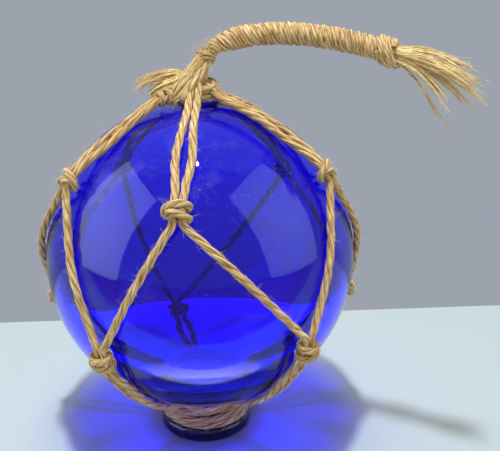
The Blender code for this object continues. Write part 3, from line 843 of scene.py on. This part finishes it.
def knot_path(azimuth, latitude, flip_side, flip_end, size=1.0):
    """The knot's own twine, from the same turns, mirrored as the knot was tied."""
    rows = []
    for x, y, z, share in KNOT_TURNS:
        x *= KNOT_WIDTH * flip_side
        y *= KNOT_LENGTH * flip_end
        spot = on_knot(azimuth, latitude, x * size, y * size, z * size)
        rows.append((*spot, TWINE_RADIUS * share * size))
    return smooth_path(rows, 0.6 * MM)


KNOT_PATHS = {}
for index, place in enumerate(UPPER_KNOTS):
    KNOT_PATHS[f"upper_knot_{index + 1}"] = knot_path(*place, -1 if index in (1, 4) else 1, 1)
for index, place in enumerate(LOWER_KNOTS):
    KNOT_PATHS[f"lower_knot_{index + 1}"] = knot_path(*place, -1 if index in (0, 2) else 1, -1)
for name, path in KNOT_PATHS.items():
    add_cords(f"tied_{name}", [path], THREE_PLY, KNOT_TWIST_PITCH, KNOT_TWINE, "twine",
              name, start_turns=0.2)
print("knots tied:", len(KNOT_PATHS))

# %% [markdown]
# ## The collar
#
# Three turns of the same twine go round the waist. They aren't stacked rings: each one wanders up
# and down a little and leans on the next, as hand-wound twine does.

# %% Wind the collar


def collar_turn(index):
    """One turn round the waist that wanders up and down over its neighbours."""
    rows = []
    steps = 30
    overlap = 1.04
    for step in range(steps + 1):
        angle = 2 * math.pi * (step * overlap) / steps + index * 2.2
        wander = 0.55 * math.sin(2 * angle + index * 1.9) + 0.3 * math.sin(5 * angle + index)
        height = FOOT_HEIGHT + GAP + TWINE_RADIUS * 0.95 + index * COLLAR_PITCH * 0.93
        height += wander * MM * (0.35 if index == 0 else 1.0)
        reach = COLLAR_RADIUS + (0.25 * math.sin(3 * angle + index) + 0.2 * index) * MM
        size = TWINE_RADIUS * (0.75 + 0.2 * math.sin(math.pi * (step / steps)) ** 0.3)
        rows.append((reach * math.cos(angle), reach * math.sin(angle), height, size))
    return smooth_path(rows, 0.7 * MM)


COLLAR_PATHS = [collar_turn(index) for index in range(3)]
for index, path in enumerate(COLLAR_PATHS):
    add_cords(f"wound_collar_{index + 1}", [path], THREE_PLY, TWIST_PITCH, SHADED_COLLAR_TWINE, "twine",
              f"collar_turn_{index + 1}")
print("collar turns in mm:", [round(1000 * path_length(path)) for path in COLLAR_PATHS])

# %% [markdown]
# ## The whipped tail
#
# The tail's line is a Bezier curve from the neck to the tassel, the same as its solid's. Equal
# steps of a Bezier's share aren't equal lengths, so a table of run lengths evens them out.

# %% Line of the tail

TAIL_START = Vector((4.8 * MM, 0, BALL_TOP + 22.5 * MM))
TAIL_SPAN = 84.8 * MM
TAIL_RISE = 0.8 * MM
TAIL_RADIUS = 5.2 * MM
TAIL_END_RADIUS = 4.4 * MM
TAIL_SAMPLES = 201


def level_way(degrees):
    """A level unit vector, turned from +X."""
    return Vector((math.cos(math.radians(degrees)), math.sin(math.radians(degrees)), 0))


def tail_point(share):
    """Centre line of the tail from the binding (0) to the tassel's root (1)."""
    end = TAIL_START + level_way(-17.5) * TAIL_SPAN + Vector((0, 0, TAIL_RISE))
    rise, dip = math.radians(40), math.radians(15)
    leave = TAIL_START + Vector((math.cos(rise), 0, math.sin(rise))) * 15 * MM
    arrive = end - (level_way(-30) * math.cos(dip) - Vector((0, 0, math.sin(dip)))) * 45 * MM
    rest = 1 - share
    return (TAIL_START * rest**3 + leave * 3 * rest**2 * share
            + arrive * 3 * rest * share**2 + end * share**3)


tail_line = np.array([tuple(tail_point(share)) for share in np.linspace(0, 1, TAIL_SAMPLES)])
tail_runs = np.concatenate([[0], np.cumsum(np.linalg.norm(np.diff(tail_line, axis=0), axis=1))])
TAIL_LENGTH = float(tail_runs[-1])
print("tail in mm:", round(1000 * TAIL_LENGTH))


def tail_frame(share):
    """Point, way along, and two unit vectors across the tail, at a share of its length."""
    bend = float(np.interp(share * TAIL_LENGTH, tail_runs, np.linspace(0, 1, TAIL_SAMPLES)))
    point = tail_point(bend)
    way = (tail_point(min(bend + 0.01, 1)) - tail_point(max(bend - 0.01, 0))).normalized()
    aside = way.cross(Vector((0, 0, 1))).normalized()
    return point, way, aside, aside.cross(way)


def around(aside, up, angle):
    """The way out from a line at an angle round it, from two unit vectors across it."""
    return aside * math.cos(angle) + up * math.sin(angle)


# %% [markdown]
# One length of twine is wound round the tail, each turn tight against the last. Its own plies slant
# across the turns, and this gives the braided look of the real whipping. Each turn is a little
# looser or tighter than the one before it, as a hand winds it. A plain core closes the gaps.

# %% Wind the whipping

WHIP_START, WHIP_END = 0.030, 0.975
WHIP_TWINE_RADIUS = 2.2 * MM
WHIP_PITCH = 3.1 * MM
TAIL_CORE_STEPS = 24


def whip_radius(share):
    """The wound bundle's radius: drawn in at the start, fullest on the bend."""
    start = smooth_step((share - WHIP_START) / 0.14)
    end = smooth_step((1 - share) / 0.10)
    return TAIL_END_RADIUS - 0.7 * MM * (1 - start) + (TAIL_RADIUS - TAIL_END_RADIUS) * start * end


def whipping_twine(rng):
    """The twine's line: turns side by side from the binding to the tassel, none quite like the last."""
    turns = round(TAIL_LENGTH * (WHIP_END - WHIP_START) / WHIP_PITCH)
    steps_each = 24
    rows = []
    loose, drift = 0.0, 0.0
    for step in range(turns * steps_each + 1):
        if step % steps_each == 0:
            next_loose, next_drift = rng.uniform(-0.14, 0.14) * MM, rng.uniform(-0.003, 0.003)
        loose += (next_loose - loose) * 0.12
        drift += (next_drift - drift) * 0.12
        share = WHIP_START + (WHIP_END - WHIP_START) * step / (turns * steps_each)
        point, _, aside, up = tail_frame(min(share + drift, 1.0))
        angle = -2 * math.pi * step / steps_each
        reach = whip_radius(share) - WHIP_TWINE_RADIUS + loose
        spot = point + around(aside, up, angle) * reach
        rows.append((*spot, WHIP_TWINE_RADIUS))
    return smooth_path(rows, 0.7 * MM)


rng = random.Random(4)
WHIP_PATH = whipping_twine(rng)
add_cords("tail_whipping", [WHIP_PATH], SIX_PLY, 22 * MM, WHIPPING, "whipping", "whipped_tail")

core_rows = []
for step in range(TAIL_CORE_STEPS + 1):
    share = WHIP_START + 0.01 + (WHIP_END - WHIP_START - 0.02) * step / TAIL_CORE_STEPS
    core_rows.append((*tail_frame(share)[0], whip_radius(share) - 1.25 * WHIP_TWINE_RADIUS))
add_cords("tail_core", [smooth_path(core_rows, 2 * MM)], THREE_PLY, 60 * MM, TWINE, "twine")
print("whipping twine in mm:", round(1000 * path_length(WHIP_PATH)))

# %% [markdown]
# The same idea makes two shorter windings. A few leaning turns thicken the tail's end and hold the
# tassel, and three turns of thin yarn bind the neck where the tail starts.

# %% The end collar and the neck's binding


def ring_path(centre, way, reach, pitch, turns, radius, tilt=0.0):
    """Turns of twine round a line, leaning over by a tilt in degrees."""
    aside = way.cross(Vector((0, 0, 1))).normalized()
    up = aside.cross(way)
    rows = []
    steps = round(turns * 20)
    for step in range(steps + 1):
        angle = -2 * math.pi * turns * step / steps
        along = pitch * turns * (step / steps - 0.5) - math.tan(math.radians(tilt)) * reach * math.sin(angle)
        spot = centre + around(aside, up, angle) * reach + way * along
        fade = 0.7 + 0.3 * math.sin(math.pi * (step / steps)) ** 0.4
        rows.append((*spot, radius * fade))
    return smooth_path(rows, 0.6 * MM)


end_point, end_way, _, _ = tail_frame(0.965)
END_PATH = ring_path(end_point, end_way, TAIL_END_RADIUS + 0.4 * MM, 2.7 * MM, 2.9, 1.9 * MM, 27)
add_cords("end_collar_turns", [END_PATH], SIX_PLY, 26 * MM, WHIPPING, "whipping", "end_collar")

NECK_TOP_RADIUS = 3.1 * MM
BINDING_CENTRE = TAIL_START + Vector((-0.6 * MM, 0, -1.6 * MM))
BINDING_WAY = Vector((0.38, 0, 1)).normalized()
BINDING_PATH = ring_path(BINDING_CENTRE, BINDING_WAY, NECK_TOP_RADIUS + 0.9 * MM, 1.7 * MM, 2.6, 0.95 * MM, 5)
add_cords("binding_turns", [BINDING_PATH], YARN, 7 * MM, TWINE, "twine", "neck_binding")
print("end collar and binding in mm:", [round(1000 * path_length(path)) for path in (END_PATH, BINDING_PATH)])

# %% [markdown]
# ## The crown
#
# The pairs of cords run up to the top and are tied there by a few turns. Out of these turns rises
# the neck, a bundle of cord tails that twist round each other and go on into the whipped tail.

# %% Neck strands and crown turns

CROWN = Vector((0, 0, BALL_TOP))
NECK_STRANDS = 9
# The neck from the crown up: height over the ball, sideways place and radius, in mm
NECK_PROFILE = [
    (3.6, -0.4, 7.4), (6.4, -0.2, 6.6), (9.6, 0.2, 5.1), (13.6, 0.9, 4.3), (18.0, 2.3, 3.5), (21.8, 4.0, 3.1),
]


def neck_strand(index):
    """One cord tail that comes out of the crown, joins the neck and ends inside the whipping."""
    angle = 2 * math.pi * index / NECK_STRANDS + 0.4
    rows = []
    for step, (height, place, radius) in enumerate(NECK_PROFILE):
        turn = angle - 0.16 * step + 0.12 * math.sin(2.4 * index + 1.3 * step)
        way = Vector((math.cos(turn), math.sin(turn), 0))
        size = 1.45 - 0.10 * step
        rows.append((*(CROWN + way * (radius - size) * MM + Vector((place, 0, height)) * MM), size * MM))
    for share in (0.03, 0.08, 0.14):
        point, _, aside, up = tail_frame(share)
        rows.append((*(point + around(aside, up, angle) * 1.6 * MM), 0.9 * MM))
    return smooth_path(rows, 0.7 * MM)


NECK_PATHS = [neck_strand(index) for index in range(NECK_STRANDS)]
add_cords("neck_strands", NECK_PATHS, THREE_PLY, TWIST_PITCH, TWINE, "twine", "rope_neck")

# The turns over the ball's top, from the lowest: place in mm, and size as a share of the twine's
CROWN_TURN_ROWS = [
    (6.0, 5.6, 2.4, 0.8), (8.4, 0.6, 2.4, 0.95), (6.4, -5.0, 2.5, 0.95), (0.6, -7.6, 3.0, 0.9),
    (-5.6, -4.4, 3.4, 0.9), (-6.2, 2.5, 4.2, 0.8), (-3.6, 5.8, 4.6, 0.95), (1.6, 6.6, 4.8, 1.0),
    (5.8, 3.6, 4.6, 1.0), (6.6, -1.2, 4.6, 1.0), (4.0, -5.4, 5.0, 1.0), (-0.6, -6.4, 5.4, 1.0),
    (-5.0, -4.6, 5.4, 1.0), (-7.0, -0.4, 5.8, 1.0),
    (-4.8, 4.4, 8.0, 1.0), (0.4, 6.2, 8.8, 0.95), (5.2, 3.6, 9.0, 0.95), (7.4, -0.8, 8.6, 0.95),
    (6.6, -5.4, 7.4, 0.95), (2.6, -7.6, 6.6, 0.9), (-1.2, -5.6, 6.6, 0.85),
]
CORE_ROWS = [(0.0, 0.2, 5.6), (0.0, 3.0, 6.6), (0.2, 7.0, 6.0), (0.6, 10.5, 4.4), (1.0, 14.0, 3.2)]


def twine_line(rows, origin):
    """A smooth line through (x, y, z, size) rows, in mm from an origin and shares of the twine."""
    return smooth_path([(*(origin + Vector(row[:3]) * MM), TWINE_RADIUS * row[3]) for row in rows], 0.7 * MM)


CROWN_PATH = twine_line(CROWN_TURN_ROWS, CROWN)
add_cords("crown_turns", [CROWN_PATH], THREE_PLY, TWIST_PITCH, TWINE, "twine", "crown_knot")

core_rows = [(*(CROWN + Vector((x, 0, z)) * MM), size * MM) for x, z, size in CORE_ROWS]
CORE_PATH = smooth_path(core_rows, 0.8 * MM)
add_cords("crown_core", [CORE_PATH], SIX_PLY, 30 * MM, TWINE, "twine")

SIDE_PATH = knot_path(UPPER_KNOTS[SIDE_KNOT_PAIR][0], SIDE_KNOT_LATITUDE, 1, 1, 0.85)
add_cords("tied_side_knot", [SIDE_PATH], THREE_PLY, KNOT_TWIST_PITCH, KNOT_TWINE, "twine",
          "crown_side_knot")
print("neck strands:", len(NECK_PATHS), "and crown turns in mm:", round(1000 * path_length(CROWN_PATH)))

# %% [markdown]
# ## Frayed ends
#
# Where twine is cut its plies open into yarns and the yarns into fibres. One function frays any
# bundle: it takes the bundle's middle line, spreads yarns over its width, lets each one end where it
# likes and curl a little, and adds much thinner single fibres between them.

# %% Fray a bundle


def any_way(rng):
    """Three random numbers for a way to any side."""
    return [rng.gauss(0, 1) for _ in range(3)]


def fray_paths(rng, line, count, root, spread, thickness, wiggle, shortest=0.6):
    """Yarns that follow a line of points in mm, packed at its root and spread at its end."""
    spine = smooth_path([(*(Vector(point) * MM), 1.0) for point in line], 1.1 * MM)[:, :3]
    ways = np.gradient(spine, axis=0)
    ways /= np.linalg.norm(ways, axis=1)[:, None]
    aside = np.cross(ways, (0, 0, 1))
    aside /= np.linalg.norm(aside, axis=1)[:, None]
    up = np.cross(aside, ways)
    paths = []
    for _ in range(count):
        angle, reach = rng.uniform(0, 2 * math.pi), math.sqrt(rng.random())
        across, rise = reach * math.cos(angle), reach * math.sin(angle)
        last = max(4, round(len(spine) * rng.uniform(shortest, 1.0)))
        share = np.linspace(0, 1, len(spine))[:last, None]
        width = (root + (spread - root) * share**1.5) * MM
        wave_a = np.sin(share * rng.uniform(3, 9) + rng.uniform(0, 6)) * share * wiggle * MM
        wave_b = np.sin(share * rng.uniform(3, 9) + rng.uniform(0, 6)) * share * wiggle * MM
        line_of = spine[:last] + aside[:last] * (across * width + wave_a)
        line_of = line_of + up[:last] * (rise * width + wave_b)
        thick = rng.uniform(*thickness) * MM * (1 - 0.7 * np.linspace(0, 1, last)**4)
        paths.append(np.column_stack([line_of, thick]))
    return paths


def split_ends(rng, yarns, count, opening):
    """Fine fibres that leave each yarn over its last third and run on past its end."""
    fibres = []
    for yarn in yarns:
        start = yarn[int(len(yarn) * 0.55):, :3]
        way = start[-1] - start[-3]
        way /= np.linalg.norm(way)
        for _ in range(count):
            beyond = rng.uniform(0.3, 3.2) * MM
            on = start[-1] + np.outer(np.linspace(0.2, 1, 5), way) * beyond
            line_of = np.vstack([start, on])
            share = np.linspace(0, 1, len(line_of))[:, None]
            stray = np.array(any_way(rng)) * opening * MM
            curl = np.array(any_way(rng)) * opening * 0.5 * MM
            line_of = line_of + stray * share**2 + curl * np.sin(share * 5)
            thick = rng.uniform(0.07, 0.16) * MM * (1 - 0.6 * share)
            fibres.append(np.column_stack([line_of, thick]))
    return fibres


def add_frayed(name, yarns, fibres, *nodes):
    """One frayed bundle: a piece of twisted yarns and a piece of single fibres."""
    add_cords(name, yarns, YARN, 9 * MM, FIBRE, "frayed_fibre", *nodes)
    add_cords(name + "_fibres", fibres, None, 0, FIBRE, "frayed_fibre")


# Middle lines of the bundles at the crown, in mm in the part's own frame
TUFT_LINE = [(-2.5, -2.5, 178.5), (-5.9, -3.0, 181.5), (-9.5, -3.0, 183.3), (-13.2, -3.0, 183.2),
             (-19.1, -4.0, 181.9), (-23.9, -5.0, 179.6), (-27.6, -6.0, 175.4)]
SECOND_TUFT_LINE = [(-4.0, 0, 180.0), (-8.0, 0, 182.4), (-13.3, 0, 182.9), (-21.6, 0, 180.9),
                    (-27.6, 0, 179.4)]
FLAT_LINE = [(3.2, -2.0, 191.5), (-0.2, -3.6, 187.0), (-3.6, -6.0, 182.0), (-7.4, -8.6, 177.8),
             (-9.8, -10.0, 174.6), (-10.6, -9.6, 171.4)]
BRIDGE_LINE = [(-20.5, -5.0, 173.4), (-17.5, -5.5, 176.0), (-13.5, -6.0, 178.0), (-9.0, -6.0, 179.6),
               (-4.6, -5.0, 182.2), (-1.0, -3.0, 185.6)]
DIAGONAL_LINE = [(5.6, -2.0, 189.6, 0.8), (3.4, -4.8, 185.6, 1.0), (0.2, -7.6, 182.2, 1.1),
                 (-3.6, -10.4, 178.2, 1.15), (-6.0, -11.8, 174.0, 1.1), (-6.0, -10.6, 171.2, 0.9)]
rng = random.Random(11)
tuft = fray_paths(rng, TUFT_LINE, 18, 2.3, 2.1, (0.38, 0.70), 0.6, 0.7)
tuft += fray_paths(rng, SECOND_TUFT_LINE, 6, 1.4, 1.3, (0.35, 0.6), 0.8, 0.65)
fine = split_ends(rng, tuft, 5, 1.1) + fray_paths(rng, TUFT_LINE, 30, 2.0, 4.2, (0.06, 0.12), 2.0, 0.5)
add_frayed("crown_tuft", tuft, fine, "frayed_end")

flat = fray_paths(rng, FLAT_LINE, 26, 2.2, 3.4, (0.45, 0.85), 0.4, 0.85)
flat += fray_paths(rng, BRIDGE_LINE, 30, 3.0, 2.6, (0.35, 0.65), 0.5, 0.85)
fine = fray_paths(rng, FLAT_LINE, 40, 2.6, 4.4, (0.07, 0.14), 1.2, 0.6) + split_ends(rng, flat, 2, 0.8)
fine += fray_paths(rng, BRIDGE_LINE, 40, 2.8, 4.6, (0.06, 0.13), 1.6, 0.6)
add_frayed("crown_flat_bundle", flat, fine)
DIAGONAL_PATH = twine_line(DIAGONAL_LINE, Vector((0, 0, 0)))
add_cords("crown_diagonal", [DIAGONAL_PATH], THREE_PLY, TWIST_PITCH, TWINE, "twine")
print("yarns at the crown:", len(tuft) + len(flat))

# %% [markdown]
# The tassel is seven such locks from the tail's end: one in the middle and six round it. Each has
# its own length, fan, drop and arch, and one thin lock hangs well below the rest.

# %% The tassel

# Length, fan outwards, drop and height of the arch of each lock, in mm
LOCKS = [(45, 0, 6, 2), (37, 3, -1, 5), (40, 5, 3, 3), (37, 5, 6, 1), (29, 3, 18, 0), (32, 5, 8, 1),
         (43, 5, 5, 4)]
THIN_LOCK = 4
LOCK_STEPS = 6
rng = random.Random(23)
root_point, root_way, root_aside, root_up = tail_frame(1.0)
for index, (length, fan, drop, arch_height) in enumerate(LOCKS):
    place = Vector((0, 0, 0))
    if index:
        angle = math.pi / 2 + 2 * math.pi * (index - 1) / (len(LOCKS) - 1)
        place = around(root_aside, root_up, angle)
    line = []
    for step in range(LOCK_STEPS + 1):
        share = step / LOCK_STEPS
        height = 0.5 * arch_height * math.sin(math.pi * share) ** 2 - (drop + 1.5) * share**2
        spot = (root_point + place * 2.4 * MM) / MM - root_way * 4 * (1 - share)
        line.append(spot + root_way * 0.92 * length * share + place * fan * share**2 + Vector((0, 0, height)))
    yarn_count, spread, opening, fibre_count = (2, 0.6, 0.7, 5) if index == THIN_LOCK else (5, 2.0, 1.0, 12)
    yarns = fray_paths(rng, line, yarn_count, 1.1, spread, (0.42, 0.74), 0.9, 0.72)
    fine = split_ends(rng, yarns, 7, opening)
    fine += fray_paths(rng, line, fibre_count, 1.5, 3.8, (0.05, 0.11), 1.8, 0.5)
    add_frayed(f"tassel_lock_{index + 1}_yarns", yarns, fine, f"tassel_lock_{index + 1}")
print("locks in the tassel:", len(LOCKS))

# %% [markdown]
# ## Stray fibres
#
# Jute is hairy. Single fibres stand off every cord, most of them short and lying along it. They are
# very thin four-sided curves, one mesh for each kind of place.

# %% Grow the stray fibres


def stray_fibres(rng, paths, per_metre, longest, thickness=(0.04, 0.075)):
    """Short curved hairs that start on the cords and point away from the ball."""
    hairs = []
    for path in paths:
        for _ in range(round(path_length(path) * per_metre)):
            # A place on the cord, the way outwards there, and the hair's own lean and curl
            index = rng.randrange(1, len(path) - 1)
            spot, radius = Vector(path[index, :3]), path[index, 3]
            way = Vector(path[index + 1, :3] - path[index - 1, :3]).normalized()
            out = Vector(any_way(rng))
            out = (out - way * out.dot(way)).normalized()
            if out.dot(spot - CENTRE) < 0:
                out.negate()
            length = longest * MM * rng.uniform(0.25, 1.0) ** 1.5
            lean = (way * rng.choice((-1, 1)) + out * rng.uniform(0.2, 1.1)).normalized()
            curl = Vector(any_way(rng)) * 0.35
            start = spot + out * radius * 0.85
            rows = []
            for share in (0.0, 0.33, 0.67, 1.0):
                bend = lean * share + curl * share * share
                rows.append((*(start + bend * length), rng.uniform(*thickness) * MM * (1 - 0.6 * share)))
            hairs.append(np.array(rows))
    return hairs


rng = random.Random(31)
hair_groups = {
    "net_fuzz": stray_fibres(rng, NET_PATHS.values(), 1300, 3.6),
    "knot_fuzz": stray_fibres(rng, [*KNOT_PATHS.values(), SIDE_PATH, *COLLAR_PATHS], 2200, 3.6),
    "crown_fuzz": stray_fibres(rng, [CROWN_PATH, *NECK_PATHS, BINDING_PATH, DIAGONAL_PATH], 1400, 6.5),
    "tail_fuzz": stray_fibres(rng, [WHIP_PATH, END_PATH], 900, 2.2),
}
for name, hairs in hair_groups.items():
    add_cords(name, hairs, None, 0, FIBRE, "frayed_fibre")
    print(name, len(hairs), "fibres")

# %% [markdown]
# ## Finish
#
# The cross-sections have done their work and go.

# %% Remove the cross-sections
for section in (THREE_PLY, SIX_PLY, YARN):
    bpy.data.objects.remove(section)
